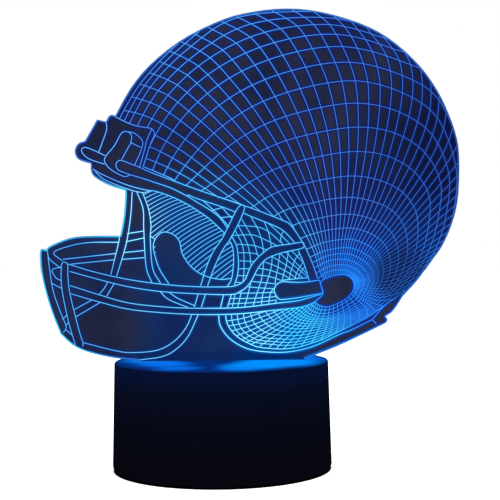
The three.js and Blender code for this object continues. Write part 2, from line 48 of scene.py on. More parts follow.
housing_low, housing_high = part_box("base_housing")
BASE_X = (housing_low.x + housing_high.x) / 2
BASE_TOP = housing_high.z

# ---- the drawing's curves -----------------------------------------------------------------------

STEP = 1.0  # longest straight step along a curve, mm
SHORTEST_RUN = 0.7  # a cut piece of a line shorter than this is left out, mm
SAME_PLACE = 0.001  # points of a run nearer than this count as one, mm
HALVINGS = 6  # how often the step across a region's edge is halved to find the edge


def spline_point(p0, p1, p2, p3, t):
    """A point between p1 and p2 on the Catmull-Rom curve through all four."""
    point = []
    for before, start, end, after in zip(p0, p1, p2, p3):
        slope = end - before
        bend = 2 * before - 5 * start + 4 * end - after
        twist = 3 * start - before - 3 * end + after
        point.append(0.5 * (2 * start + t * (slope + t * (bend + t * twist))))
    return tuple(point)


def beyond(p, q):
    """The point as far beyond p as q is before it."""
    return tuple(2 * a - b for a, b in zip(p, q))


def smooth(points, closed=False, step=STEP):
    """A smooth curve through the points, in short straight steps."""
    if len(points) == 2:
        points = [points[0], midpoint(*points), points[1]]
    if closed:
        around = [points[-1], *points, points[0], points[1]]
    else:
        around = [beyond(points[0], points[1]), *points, beyond(points[-1], points[-2])]
    curve = []
    for i in range(len(around) - 3):
        p0, p1, p2, p3 = around[i : i + 4]
        count = max(1, math.ceil(math.dist(p1, p2) / step))
        curve += [spline_point(p0, p1, p2, p3, j / count) for j in range(count)]
    return curve + [around[-2]]


def midpoint(p, q):
    return tuple((a + b) / 2 for a, b in zip(p, q))


def inside(point, polygon):
    x, z = point
    odd = False
    for (x1, z1), (x2, z2) in zip(polygon, polygon[1:] + polygon[:1]):
        if (z1 > z) != (z2 > z) and x < x1 + (z - z1) * (x2 - x1) / (z2 - z1):
            odd = not odd
    return odd


def clipped(line, keep, holes=()):
    """The stretches of a line that lie inside the keep outline and outside the holes."""

    def shown(p):
        return inside(p, keep) and not any(inside(p, hole) for hole in holes)

    def edge(a, b):
        """Where the line leaves the region between a shown point a and a hidden one b."""
        for _ in range(HALVINGS):
            middle = midpoint(a, b)
            a, b = (middle, b) if shown(middle) else (a, middle)
        return a

    fine = [line[0]]
    for p, q in zip(line, line[1:]):
        count = max(1, math.ceil(math.dist(p, q) / (0.5 * STEP)))
        fine += [tuple(a + (b - a) * j / count for a, b in zip(p, q)) for j in range(1, count + 1)]
    seen = [shown(p) for p in fine]
    runs, run = [], []
    for i, p in enumerate(fine):
        if seen[i]:
            if not run and i > 0:
                run = [edge(p, fine[i - 1])]
            run.append(p)
        elif run:
            run.append(edge(run[-1], p))
            runs.append(run)
            run = []
    if run:
        runs.append(run)
    return [r for r in runs if sum(math.dist(a, b) for a, b in zip(r, r[1:])) > SHORTEST_RUN]


def between(keys, position):
    """The value at a position between key values {position: point}, on a smooth curve."""
    at = sorted(keys)
    if position > at[-1]:
        share = (position - at[-1]) / (at[-1] - at[-2])
        return tuple(q + share * (q - p) for p, q in zip(keys[at[-2]], keys[at[-1]]))
    i = max(k for k in range(len(at) - 1) if at[k] <= position)
    p1, p2 = keys[at[i]], keys[at[i + 1]]
    p0 = keys[at[i - 1]] if i > 0 else beyond(p1, p2)
    p3 = keys[at[i + 2]] if i + 2 < len(at) else beyond(p2, p1)
    # tangents that allow for uneven spacing of the keys
    span = at[i + 1] - at[i]
    before = at[i] - at[i - 1] if i > 0 else span
    after = at[i + 2] - at[i + 1] if i + 2 < len(at) else span
    t = (position - at[i]) / span

    def tangent(a, b, c, left, right):
        slope_in, slope_out = (b - a) / left, (c - b) / right
        return span * (slope_in * right + slope_out * left) / (left + right)

    value = []
    for a, b, c, d in zip(p0, p1, p2, p3):
        m1, m2 = tangent(a, b, c, before, span), tangent(b, c, d, span, after)
        t2, t3 = t * t, t * t * t
        value.append(
            (2 * t3 - 3 * t2 + 1) * b + (t3 - 2 * t2 + t) * m1
            + (3 * t2 - 2 * t3) * c + (t3 - t2) * m2
        )
    return tuple(value)


def net_point(net, spoke, ring):
    """A point of a net that is given on some rings of some spokes."""
    return between({u: between(rings, ring) for u, rings in net.items()}, spoke)


# ---- the helmet drawing, in millimetres in the panel's plane -------------------------------------

# The net of rings and spokes round the ear hole that draws the shell and the jaw. Ring 0 is the
# hole's edge; on the shell ring 22 is nearest the outline, and on the jaw ring 15 is its edge line.
# Spokes are counted clockwise from the one that runs straight up. Each column is one spoke.
SHELL_RINGS = (0, 3, 6, 9, 12, 14, 16, 18, 20, 22)
SHELL_SPOKES = {
    -18: [(25.5, 72), (21.5, 77), (16, 84), (1, 96), (-20.5, 110.8),
          (-30.1, 115.6), (-39.2, 119), (-48, 122), (-56, 124), (-62, 126)],
    -16: [(26, 72), (22.5, 78), (19, 85.5), (6, 98.5), (-15.2, 114.2),
          (-25.7, 121.7), (-35.5, 127.4), (-44, 131), (-51, 133), (-56, 134)],
    -12: [(27.3, 72.6), (24.3, 79.6), (21.8, 87.2), (13.6, 103), (-2.7, 123),
          (-14, 134.6), (-24, 143.6), (-32.3, 150), (-39.4, 153.2), (-43.5, 154.6)],
    -8: [(30.8, 76.1), (29.8, 82.1), (28.3, 89.8), (23.4, 105.7), (11.2, 130),
         (1.5, 145.1), (-7.5, 156.7), (-15.2, 164.9), (-22.8, 169.6), (-27, 171.6)],
    -4: [(33.4, 76.9), (33.4, 83.2), (33.2, 90.9), (32.3, 107.6), (27.3, 134.3),
         (20.9, 152.1), (14, 165.6), (6.9, 174.9), (-3.7, 181), (-9, 184)],
    0: [(36, 77.1), (37, 83.4), (38.1, 91.4), (41.3, 108.2), (44.1, 136.4),
        (43, 155), (38.1, 168.8), (32.9, 177.7), (26.5, 183), (20, 187)],
    4: [(38, 77), (40.2, 82.9), (42.4, 91), (49.7, 106.4), (58.7, 133.8),
        (61.9, 150), (60.8, 163), (55, 172), (50, 180), (45, 187)],
    8: [(39.4, 76.4), (43.3, 81.4), (47.5, 88.8), (57.1, 102.9), (70.7, 125.8),
        (75.8, 139.8), (76.5, 153.5), (75, 164), (74, 174), (73, 184)],
    12: [(40.4, 75.7), (45.8, 79.3), (51.2, 85.8), (61.9, 96.7), (76.9, 113.3),
         (83, 120.5), (88, 127), (92, 133), (96, 139), (99, 145)],
    16: [(41, 74.9), (47.4, 76.8), (53, 82.3), (63.4, 88.6), (75.6, 98.8),
         (82.4, 104.4), (88, 109), (92, 113), (96, 117), (99, 121)],
    20: [(41.4, 73.9), (47.8, 74.6), (53.6, 77.8), (62.2, 81.2), (72.2, 87.2),
         (78.6, 91), (84, 94.5), (88, 97), (92, 99), (96, 101)],
    24: [(41.5, 72.8), (47, 72), (51.9, 72.6), (58.7, 73.9), (67.5, 79),
         (73.4, 82.4), (79, 86), (83, 88), (87, 90), (91, 92)],
    28: [(41.3, 71.4), (45.6, 69.5), (49, 68.6), (52.7, 67.9), (60.4, 70),
         (65, 72.3), (70, 75), (74, 77), (78, 79), (82, 81)],
}
# Two spokes between these are given near the hole only, on the first of the rings.
INNER_SPOKES = {
    -11: [(29.3, 75.2), (27.3, 80.8), (24.9, 88.4), (16.3, 104)],
    -10: [(29.8, 75.6), (28.2, 81.3), (26, 88.9), (18.7, 104.8)],
}
JAW_RINGS = (0, 3, 6, 9, 12, 15)
JAW_SPOKES = {
    30: [(41, 70.6), (44.6, 68), (47.2, 66.7), (49.6, 65.5), (53.2, 64.4), (57, 64)],
    32: [(40.4, 69.6), (43.6, 66.4), (45.9, 64.4), (46.8, 62.9), (46.9, 61.2), (46.8, 59.8)],
    34: [(38, 67.6), (39.5, 64), (40.1, 61.8), (40.2, 60.2), (40.2, 58.6), (40.2, 56.6)],
    36: [(34.8, 65.8), (35.2, 61.8), (35.3, 60), (35.2, 58.3), (34.8, 56), (34, 53.5)],
    38: [(31.8, 64.5), (31.2, 60.7), (30.9, 58.8), (30.4, 56.8), (29.6, 54.2), (28.1, 51)],
    40: [(28.9, 64.4), (27.3, 60.6), (26.1, 58.4), (24.8, 56), (22.6, 52.3), (20.2, 48.6)],
    42: [(27.2, 65.1), (25, 61.1), (22.9, 58.6), (20.4, 55.6), (16.6, 51.5), (13.2, 47.8)],
    44: [(26, 66.2), (22.9, 62), (20.1, 59.3), (16.4, 55.8), (11.2, 51.7), (7.3, 48.4)],
    46: [(25.2, 66.9), (21.6, 63.4), (17.9, 60.3), (12.7, 56.8), (5.2, 52.3), (0, 49.5)],
    48: [(24.5, 67.5), (19.9, 64.4), (15.9, 61.7), (10, 58.3), (1.5, 54), (-4.2, 51.2)],
    50: [(24, 68), (19, 65.4), (14.6, 63.5), (8, 60.2), (-1.4, 56.7), (-8.1, 55)],
    52: [(24, 68.4), (18.5, 66.6), (13.5, 65), (6, 62.8), (-2.7, 60.2), (-9.9, 59)],
    54: [(24, 69), (18.5, 68.5), (13.5, 67.5), (6, 65.6), (-2.9, 64), (-10, 63)],
}
shell_net = {u: dict(zip(SHELL_RINGS, points)) for u, points in SHELL_SPOKES.items()}
shell_net |= {u: dict(zip(JAW_RINGS, points)) for u, points in JAW_SPOKES.items()}


def completed(spoke, points):
    """A spoke given on its first rings, carried on between its neighbours, to 0.1 mm."""
    outer = [net_point(shell_net, spoke, ring) for ring in SHELL_RINGS[len(points):]]
    rounded = [(round(x, 1), round(z, 1)) for x, z in outer]
    return dict(zip(SHELL_RINGS, points + rounded))


shell_net |= {u: completed(u, points) for u, points in INNER_SPOKES.items()}
FIRST_SPOKE, LAST_SPOKE = -18, 52
LAST_SHELL_SPOKE = 28
LAST_RING, LAST_JAW_RING = 22, 14

# The cheek, between the inner strap and the shell's edge trim: upright lines and level ones.
CHEEK_UPRIGHTS = [
    [(-7.3, 64.7), (-6.2, 70)],
    [(-5.2, 64.6), (-4, 69.4), (-2.9, 75.2), (-2.4, 82.5), (-3, 89.3), (-5.9, 95.5)],
    [(-2.4, 64.6), (-1.1, 69.4), (0.3, 75.5), (0.3, 81.5), (-0.9, 89.5), (-4.6, 97.5)],
    [(3, 85.3), (2, 89.2), (0.5, 93.3), (-3.2, 100)],
    [(0.9, 64.7), (2.4, 69.5), (4.6, 76.2), (5.3, 82.5), (5.1, 89.5), (3.3, 95.7), (0.5, 100.8)],
    [(4.4, 65.4), (4.9, 69.5), (7.2, 76.1), (8.7, 82.1), (8.6, 88.3), (7.5, 94.5), (5.9, 98.7)],
    [(7.2, 65.4), (7.9, 69.6), (9.1, 71.8)],
    [(10, 73.6), (10.1, 75.4), (10.8, 78.6), (11.5, 82.6), (12, 86.4)],
    [(13.3, 89.5), (12.4, 91), (12.6, 93), (13.6, 95.2)],
    [(9.9, 65.8), (10.4, 67.6)],
    [(12.8, 75.1), (13.5, 78), (14.6, 81.8), (15.5, 87.3)],
    [(15.7, 75.4), (16.1, 78), (17.1, 80.9), (18, 83.3), (19.8, 85.9)],
    [(18, 75.7), (18.5, 77.8), (19.9, 80.4), (21.2, 82.3)],
    [(19.3, 75.9), (19.8, 77.4), (21, 79.3), (22.2, 80.8)],
]
CHEEK_LEVELS = [
    [(7.5, 98.1), (10.6, 95.3), (16.1, 89.7)],
    [(-5.1, 97.5), (3.1, 96.7), (7.5, 94.8), (12.5, 90.4)],
    [(-7.2, 93.4), (0.5, 93.6), (4.6, 92.3), (11, 89.1)],
    [(-5.3, 89.9), (1.3, 89.3), (6.6, 87.5)],
    [(-4.5, 86.5), (1.3, 86.2), (3.5, 85.4)],
    [(-4.3, 83.2), (1.4, 82.9)],
    [(-4.5, 80), (0, 80)],
    [(-5, 77.3), (-1.2, 77.2)],
    [(-5.7, 74.6), (-3.2, 74.4)],
    [(16, 87.7), (18, 85.7), (21.1, 82.5)],
    [(13.8, 87.3), (18.2, 82.4), (21.2, 79.4), (23.2, 77.2)],
    [(11.2, 86.8), (15.6, 82.7), (19.5, 79.5), (22.9, 76.5)],
    [(8.2, 85.2), (14.5, 81.2), (18.6, 78), (21, 76.2)],
    [(5.2, 82.9), (11.2, 80.5), (16.1, 77.7), (18.5, 75.8)],
    [(3.1, 80.2), (8.2, 79.2), (13.3, 77.3), (16.2, 75.5)],
    [(1.5, 77.6), (7.5, 76.8), (12.5, 75.1)],
    [(0.3, 74.9), (4, 74.5), (9.9, 73.8)],
    [(-1, 72.7), (5.7, 72.1), (9.4, 71.9)],
    [(-6.5, 70.2), (1.1, 70.2), (9.5, 70.4)],
    [(-8.2, 68.1), (1, 68.1), (10.8, 68.7)],
    [(-9, 65.9), (0, 66.3), (9.9, 67.2)],
]

# The hatching is one shallow arc, repeated.
HATCH_ARC = [(-14, -14), (-6.5, -5.5), (0, 0), (5.8, 3.9), (11.9, 7.1), (16.5, 8.6), (22, 9.5)]
HATCH_START = (-39.4, 97)
HATCH_SHIFT = (1.57, -0.9)
HATCH_FROM, HATCH_TO = -10, 21

# Regions that the nets and the hatching are cut to.
HOLE = [
    (28.2, 64.7), (31.3, 64.4), (35.5, 65.9), (39.1, 68), (41.2, 70.6), (41.6, 73.3),
    (40.6, 75.6), (38.1, 77.1), (34.6, 77), (31.5, 76.1), (28.3, 74.3), (29.2, 69.9),
    (27.5, 67.8), (26, 66.4),
]
TRIM_UPPER = [
    (-13, 109.1), (-7.9, 107.4), (-3.2, 105.7), (2.9, 103.5), (9.6, 100.8), (13.7, 99.1),
    (16.2, 97.6), (19.3, 93.4), (22.8, 87.2), (25.7, 80), (27.1, 75.8),
]
JAW_INNER = [
    (-10.1, 61.4), (-9.7, 58.8), (-8.8, 56.7), (-7, 54.2), (-4.5, 52), (-1.1, 50.1),
    (2.8, 48.5), (7.6, 47.9), (12.4, 47.6), (17.3, 48), (20.8, 48.7), (28.3, 51.1),
    (32.4, 52.9), (40, 56.5), (46.8, 59.9), (50.5, 62.3), (53.7, 64.4),
]
SECOND_BAR_LOWER = [
    (-72.1, 70.7), (-61.2, 67.4), (-49.7, 64.4), (-36.8, 62.8), (-20.7, 61.8),
    (-5, 61.9), (10.4, 63.3), (18.8, 64.1), (22.8, 65), (26, 66.5),
]
NECK_LINE = [(48.8, 59), (53.7, 64.4), (58.8, 67.8), (62.4, 70.4)]
CLIP_LINE = [(-54.5, 142.2), (-52.4, 141), (-49.8, 139.7), (-47.5, 138.7), (-44.3, 137.7), (-39, 136.8)]
CLIP_END = [(-39, 136.8), (-37.8, 134.7), (-39.3, 131), (-40.5, 127.8), (-41.4, 124.8), (-42.6, 121.5)]
SHELL_BOTTOM = [(-42.6, 121.5), (-37.1, 119.2), (-31.4, 116.6), (-29.8, 115.4)]
TUBE_UPPER = [
    (-52.1, 124.1), (-50.7, 123.9), (-47.7, 122.7), (-44.2, 121.3), (-39.2, 119), (-31.4, 116),
    (-24.4, 113.3), (-15, 109.9), (-6.8, 107.1), (-3.3, 105.9),
]
UPPER_BAR_TOP_END = [
    (-2.3, 75.4), (-0.4, 79.7), (1.4, 82.5), (3.5, 84.8), (6.3, 87.1), (8.7, 88.6),
    (12.5, 89.3), (15.9, 89.7), (20.8, 90.4), (21.8, 89.5), (21.5, 88.2),
]
UPPER_BAR_LOWER = [
    (-72.6, 79.7), (-61.1, 76.4), (-49.6, 73.4), (-36.7, 71.3), (-20.7, 70.1), (-7.8, 69.7),
    (-4, 71), (-1.5, 72.7), (0.6, 75.4), (2.9, 79.7), (5.3, 82.8), (7.8, 84.5),
    (12, 86), (15.9, 86.9), (19.2, 87.5), (21.5, 88.2),
]
STRAP_LOWER = [
    (-45.6, 111.5), (-42.2, 111), (-39.7, 111.8), (-35.6, 110.9), (-29.8, 108.6), (-24.9, 106.1),
    (-20.8, 103.5), (-16.7, 100.6), (-13.1, 97.3), (-10.2, 94.4),
]
TUBE_LOWER = [
    (-52.1, 124.1), (-53.2, 123.3), (-53.5, 121.9), (-52.6, 120.2), (-51, 119.5), (-47.8, 118.3),
    (-42.1, 116.5), (-37.2, 114.8), (-31.8, 112.9), (-25.7, 109.8), (-20.8, 106.8), (-15.5, 103.5),
    (-11.8, 100.4), (-9, 96.4),
]
STRUT_LEFT = [
    (-3.1, 105.8), (-4.2, 105), (-5.6, 103), (-9, 96.4), (-11.1, 92.3), (-14.8, 87),
    (-17.4, 81.3), (-20, 73.3),
]
STRUT_RIGHT = [
    (-3.1, 105.8), (-2, 105), (-2.5, 102.7), (-4.8, 97.6), (-8.2, 91.5), (-11.1, 87.4),
    (-14.5, 80.5), (-17.2, 73.3),
]
CHEEK_STRAP_RIGHT = [(-43, 111.3), (-40.6, 104.5), (-39.7, 98.1), (-40, 92.3), (-39.2, 80.7), (-36.1, 74.5)]
OPENING = [
    (-32.8, 74.3), (-36.6, 80.6), (-38.8, 88.4), (-38.1, 92.2), (-35.2, 95), (-31.3, 94.4),
    (-28.4, 91.5), (-27.2, 86.3), (-24.4, 81.8), (-21.2, 78.9), (-18.6, 77.5),
]
INNER_STRAP_RIGHT = [
    (-7.5, 93.4), (-6.2, 91.1), (-5.2, 88.5), (-4.8, 84.9), (-4.7, 81.1), (-5.2, 77.2),
    (-6.4, 73.6),
]
INNER_STRAP_LEFT = [(-8, 91.1), (-7, 88.8), (-6.6, 84.9), (-6.9, 79.8), (-7.7, 75.5), (-9.2, 73.2)]
TRIM_LOWER = [(-2.4, 102.4), (0.3, 101.1), (5.7, 98.9), (10.6, 96.8), (13.6, 95), (15.9, 92.7), (17.9, 90.3)]
TRIM_LOWER_END = [(19.4, 87), (21.5, 82.1), (22.9, 77.6), (23.7, 74.8)]

# Lines drawn as they are, each a smooth curve.
DRAWN = [
    TRIM_UPPER, TRIM_LOWER, TRIM_LOWER_END,
    [(-24.9, 110), (-20.8, 108.3), (-10.9, 104.9), (-5.6, 102.8)],
    CLIP_LINE, CLIP_END, SHELL_BOTTOM, TUBE_UPPER, TUBE_LOWER, STRAP_LOWER,
    STRUT_LEFT, STRUT_RIGHT, CHEEK_STRAP_RIGHT, OPENING, INNER_STRAP_RIGHT, INNER_STRAP_LEFT,
    # brow plate fold, clip end and its two strap loops
    [(-57.3, 139.7), (-57, 137), (-57.8, 134.2), (-60.4, 127.4)],
    [(-39, 136.6), (-41.1, 131.7), (-41.8, 128.7), (-44, 121.3)],
    [(-57.4, 126.1), (-53.9, 130.2), (-51.3, 134.8), (-49.2, 135.7), (-47.2, 134.3),
     (-47.4, 131.2), (-49, 128.3), (-51.2, 124.4)],
    [(-57.4, 126.1), (-58.1, 123.8), (-55.6, 120.5), (-50.3, 117.6), (-47.7, 118.3)],
    [(-48.3, 135.5), (-45.7, 134.8), (-42.7, 131.7), (-43.5, 127.6), (-46.1, 122)],
    [(-47.4, 131.2), (-43.5, 129.2)],
    [(-57.9, 126.1), (-62.9, 128.5), (-66.2, 129.5), (-67.3, 128), (-64.6, 125), (-58.1, 122.6)],
    # lower edge of the brow guard
    [(-62.8, 120.7), (-58.4, 118.2), (-49.2, 114.2), (-42.2, 112.2), (-39.7, 111.8)],
    [(-61.9, 119.7), (-58.4, 116.6), (-51.5, 113.5), (-45.7, 111.5)],
    # front strut and cheek strap
    [(-47.1, 111.5), (-47.7, 102.6), (-49.3, 92.4), (-51.4, 84.7), (-53.7, 77.6)],
    [(-52.4, 93.8), (-52.9, 90.5), (-56, 78.3)],
    [(-45.3, 111.5), (-42.8, 104.5), (-42.6, 96.2), (-41.8, 81.3), (-39.6, 74.9)],
    [(-39.8, 93.5), (-38.1, 92.2)],
    # rear bars and rungs seen through the mask
    [(-75.2, 84.6), (-53.8, 86.7)], [(-50.8, 87), (-42.3, 87.8)],
    [(-72, 82.6), (-54.4, 84.2)], [(-51.4, 84.3), (-42.4, 84.9)],
    [(-49.3, 94.6), (-42.6, 95.6)], [(-49.7, 91.4), (-42.6, 92.8)],
    # upper front bar
    [(-73.3, 82.7), (-62.4, 79.3), (-49.5, 76.3), (-36.7, 74.3), (-23.8, 73.1), (-11, 72.8),
     (-5.8, 73.3), *UPPER_BAR_TOP_END],
    UPPER_BAR_LOWER,
    # second bar
    [(-72.4, 74), (-61.2, 70.3), (-49.6, 66.9), (-36.8, 65.2), (-23.9, 64.4), (-5, 64.4),
     (10.5, 66), (18.8, 66.9), (23.6, 68.1), (28.6, 69.5)],
    SECOND_BAR_LOWER,
    # bottom bar and the links above it
    [(-67.7, 51.1), (-54.8, 47.7), (-47.6, 46.8), (-37.5, 47.7), (-30.7, 51.3), (-26, 56.7), (-23.7, 61.7)],
    [(-45.1, 43.8), (-36.1, 45), (-30.7, 47.5), (-25.4, 52.9), (-21.1, 61.7)],
    [(-36.4, 71.3), (-32.9, 68), (-25.2, 64.7)], [(-32.9, 71), (-29, 68.3), (-22.3, 65.3)],
    [(-21, 70.1), (-22.6, 64.9)], [(-18.1, 69.9), (-19.8, 64.7)],
    [(-10.8, 69.7), (-12.1, 64.4)], [(-7.6, 69.9), (-9.3, 64.6)],
    [(-57.4, 75.1), (-58.7, 72.8), (-60.8, 70.3)], [(-54.7, 74.6), (-57.8, 69.6)],
    [(-63.6, 68.2), (-71.1, 64.2)], [(-60.4, 67.1), (-70.3, 61.4)],
    [(-18.6, 77.5), (-15.7, 76.5), (-11.4, 75.8), (-7.8, 76.2)],
    # snap clip at the bars' end
    [(12.7, 74.7), (10.5, 73.5), (9.5, 71), (10.8, 68.2), (12.3, 67.4)],
    [(12.7, 74.7), (20.4, 74.3), (27.8, 75.1)], [(27.8, 75.1), (29.2, 69.9)],
    [(12.3, 67.4), (18.8, 68.1), (29.2, 69.9)],
    [(12.7, 75.2), (23.4, 76.2)],
    # jaw edge and the bars that run back from it
    JAW_INNER,
    [(-12.9, 61.4), (-12.2, 57), (-8.2, 51.7), (-1.2, 47.8), (7.6, 46.4), (15.9, 46.5),
     (25.1, 48.6), (35.5, 53.2), (40.2, 54.9), (48.8, 59)],
    [(48.8, 59), (50.5, 57.3)],
    NECK_LINE,
    # left mask bar, rim tube and second upright bar
    [(-81.4, 88.4), (-80.7, 81.4), (-79.3, 72.1), (-76.6, 63.8), (-74.2, 57.5), (-75.4, 55.2)],
    [(-52.7, 91.2), (-64.7, 91.2), (-72.9, 89.8), (-78.9, 87.3), (-75.5, 84)],
    [(-81.4, 88.4), (-80.7, 84.9), (-76.2, 81.1)],
    [(-67.8, 49.5), (-67.5, 50.8), (-69.1, 56.2), (-72.4, 70.1), (-73.3, 77.8), (-73.3, 82.4),
     (-74.5, 83.4), (-75.8, 82.4), (-75.8, 73.2), (-73.4, 60.2), (-70.6, 50.1)],
    [(-75.9, 81.5), (-79.6, 80.4), (-78.1, 77.2), (-75.9, 76)],
    [(-80, 75.1), (-75.8, 72.9)],
    [(-75.6, 60.5), (-73.7, 62.3)], [(-74.3, 58.2), (-73, 59.3)], [(-74.2, 56.2), (-72, 54.2)],
    # small cross lines between the strap and the trim
    [(-18.7, 107.6), (-13, 102.2), (-8.3, 96.9)],
    [(-15.5, 103.5), (-10.9, 104.7)], [(-11.8, 100.6), (-6.9, 101.1)],
    [(-10.9, 104.7), (-8.9, 102.2), (-6.9, 100.2)],
]


FLAT = 1e-6  # how far a vertex of the front face may lie behind it, m


def face_outline(node):
    """The outline of the panel's front face, as points in millimetres, from the CAD mesh."""
    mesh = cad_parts[node].data
    front = min(v.co.y for v in mesh.vertices)
    in_front = [v.co.y < front + FLAT for v in mesh.vertices]
    flat = [p for p in mesh.polygons if all(in_front[i] for i in p.vertices)]
    places = {}

    def key(i):
        co = mesh.vertices[i].co
        return places.setdefault((round(co.x, 6), round(co.z, 6)), (co.x / MM, co.z / MM))

    edges = {}
    for polygon in flat:
        loop = [key(i) for i in polygon.vertices]
        for a, b in zip(loop, loop[1:] + loop[:1]):
            if (b, a) in edges:
                del edges[(b, a)]
            else:
                edges[(a, b)] = True
    nexts = {a: b for a, b in edges}
    start = max(nexts, key=lambda point: point[1])
    outline, at = [start], nexts[start]
    while at != start:
        outline.append(at)
        at = nexts[at]
    return outline


outline = face_outline("acrylic_panel")
slot_z = BASE_TOP / MM
free_outline = [p for p in outline if p[1] > slot_z - 1]

INSET = 0.4  # the nets end this far inside the outline, under its bright band
IN_HOLE = (28, 70)  # a place in the ear hole, where the shell's region passes from trim to bar
CROWN_REAR = (62.4, 70.4)  # where the crown's outline starts, at the neck
CROWN_FRONT = (-53, 143)  # and where it ends, at the brow
JAW_REACH = -10  # the second bar bounds the jaw's net to the right of this x
OPENING_START = 12  # step along the opening's curve where the hatching's edge comes to it


def run_between(first, last):
    """The outline over the crown, from the point nearest first to the one nearest last, inset."""
    count = len(outline)
    start = min(range(count), key=lambda i: math.dist(outline[i], first))
    stop = min(range(count), key=lambda i: math.dist(outline[i], last))
    run = []
    for k in range((stop - start) % count + 1):
        (x0, z0), (x, z), (x1, z1) = (outline[(start + k + j) % count] for j in (-1, 0, 1))
        length = math.hypot(x1 - x0, z1 - z0)
        run.append((x - INSET * (z1 - z0) / length, z + INSET * (x1 - x0) / length))
    return run


def shell_region():
    """Brow clip, shell's lower edge and trim, ear hole, bar, jaw, neck line, and the crown."""
    front = CLIP_LINE[1:] + CLIP_END[1:] + SHELL_BOTTOM[1:] + smooth(TRIM_UPPER)
    bar = [p for p in smooth(SECOND_BAR_LOWER)[::-1] if p[0] > JAW_REACH]
    jaw = smooth(JAW_INNER) + NECK_LINE[1:]
    return front + [IN_HOLE, *bar] + jaw + run_between(CROWN_REAR, CROWN_FRONT)


lines = {}
region = shell_region()
hole = smooth(HOLE, closed=True)


def net_line(spots):
    return smooth([net_point(shell_net, u, v) for u, v in spots])


rings = []
for v in range(1, LAST_RING + 1):
    last = LAST_SPOKE + 2 if v <= LAST_JAW_RING else LAST_SHELL_SPOKE
    rings.append(net_line([(u, v) for u in range(FIRST_SPOKE, last + 1)]))
spokes = []
for u in range(FIRST_SPOKE, LAST_SPOKE + 1):
    last = LAST_RING if u <= LAST_SHELL_SPOKE else LAST_JAW_RING + 1
    spokes.append(net_line([(u, v) for v in range(last + 1)]))
lines["shell_rings"] = [r for line in rings for r in clipped(line, region, [hole])] + [hole]
lines["shell_spokes"] = [r for line in spokes for r in clipped(line, region, [hole])]

cheek_region = (
    smooth(TRIM_LOWER) + smooth(TRIM_LOWER_END) + [(23.4, 76.2), (12.7, 75.2), (12.3, 67.4)]
    + [(18.8, 66.9), (10.5, 66), (-5, 64.4), (-9.3, 64.5), (-7.6, 69.9)]
    + smooth(INNER_STRAP_RIGHT)[::-1] + [(-4.8, 97.6)]
)
upper_bar = smooth(UPPER_BAR_TOP_END) + smooth(UPPER_BAR_LOWER)[::-1] + [(-20, 73), (-6, 73.2)]
clip_piece = [(12.7, 74.7), (10.5, 73.5), (9.5, 71), (10.8, 68.2), (29, 69.9), (27.8, 75)]
lines["cheek"] = [
    r for line in CHEEK_UPRIGHTS + CHEEK_LEVELS
    for r in clipped(smooth(line), cheek_region, [upper_bar, clip_piece])
]

strut = smooth(STRUT_LEFT) + smooth(STRUT_RIGHT)[::-1]
strap_above_opening = CHEEK_STRAP_RIGHT[:4]
hatch_region = (
    smooth(strap_above_opening) + [(-39.8, 93.5), (-38.1, 92.2)] + smooth(OPENING)[OPENING_START:]
    + [(-15.7, 76.5), (-11.4, 75.8), (-7.8, 76.2)] + smooth(INNER_STRAP_LEFT)[::-1]
    + smooth(STRAP_LOWER)[::-1]
)
hatching = []
for k in range(HATCH_FROM, HATCH_TO):
    x, z = (s + k * d for s, d in zip(HATCH_START, HATCH_SHIFT))
    hatching.append(smooth([(x + dx, z + dz) for dx, dz in HATCH_ARC]))
lines["hatching"] = [r for line in hatching for r in clipped(line, hatch_region, [strut])]
lines["helmet_lines"] = [smooth(points) for points in DRAWN]

# ---- engraved ridges ----------------------------------------------------------------------------

HALF_THICKNESS = (panel_high.y - panel_low.y) / 2
RIDGE = 0.06 * MM
SINK = 0.02 * MM

rim_points = [q for a, b in zip(outline, outline[1:] + outline[:1]) for q in smooth([a, b])]
rim = kdtree.KDTree(len(rim_points))
for i, (x, z) in enumerate(rim_points):
    rim.insert((x, 0, z), i)
rim.balance()


FINEST_SHARE = 0.01  # how finely the place where a ridge leaves the panel's face is found


def on_panel(x, z, x_end, z_end):
    """How much of the way from a point to another one stays on the panel's face."""
    far_from_rim = rim.find((x, 0, z))[2] > math.hypot(x_end - x, z_end - z) + STEP
    if far_from_rim or inside((x_end, z_end), outline):
        return 1.0
    share, step = 0.0, 0.5
    while step > FINEST_SHARE:
        if inside((x + (x_end - x) * (share + step), z + (z_end - z) * (share + step)), outline):
            share += step
        step /= 2
    return share


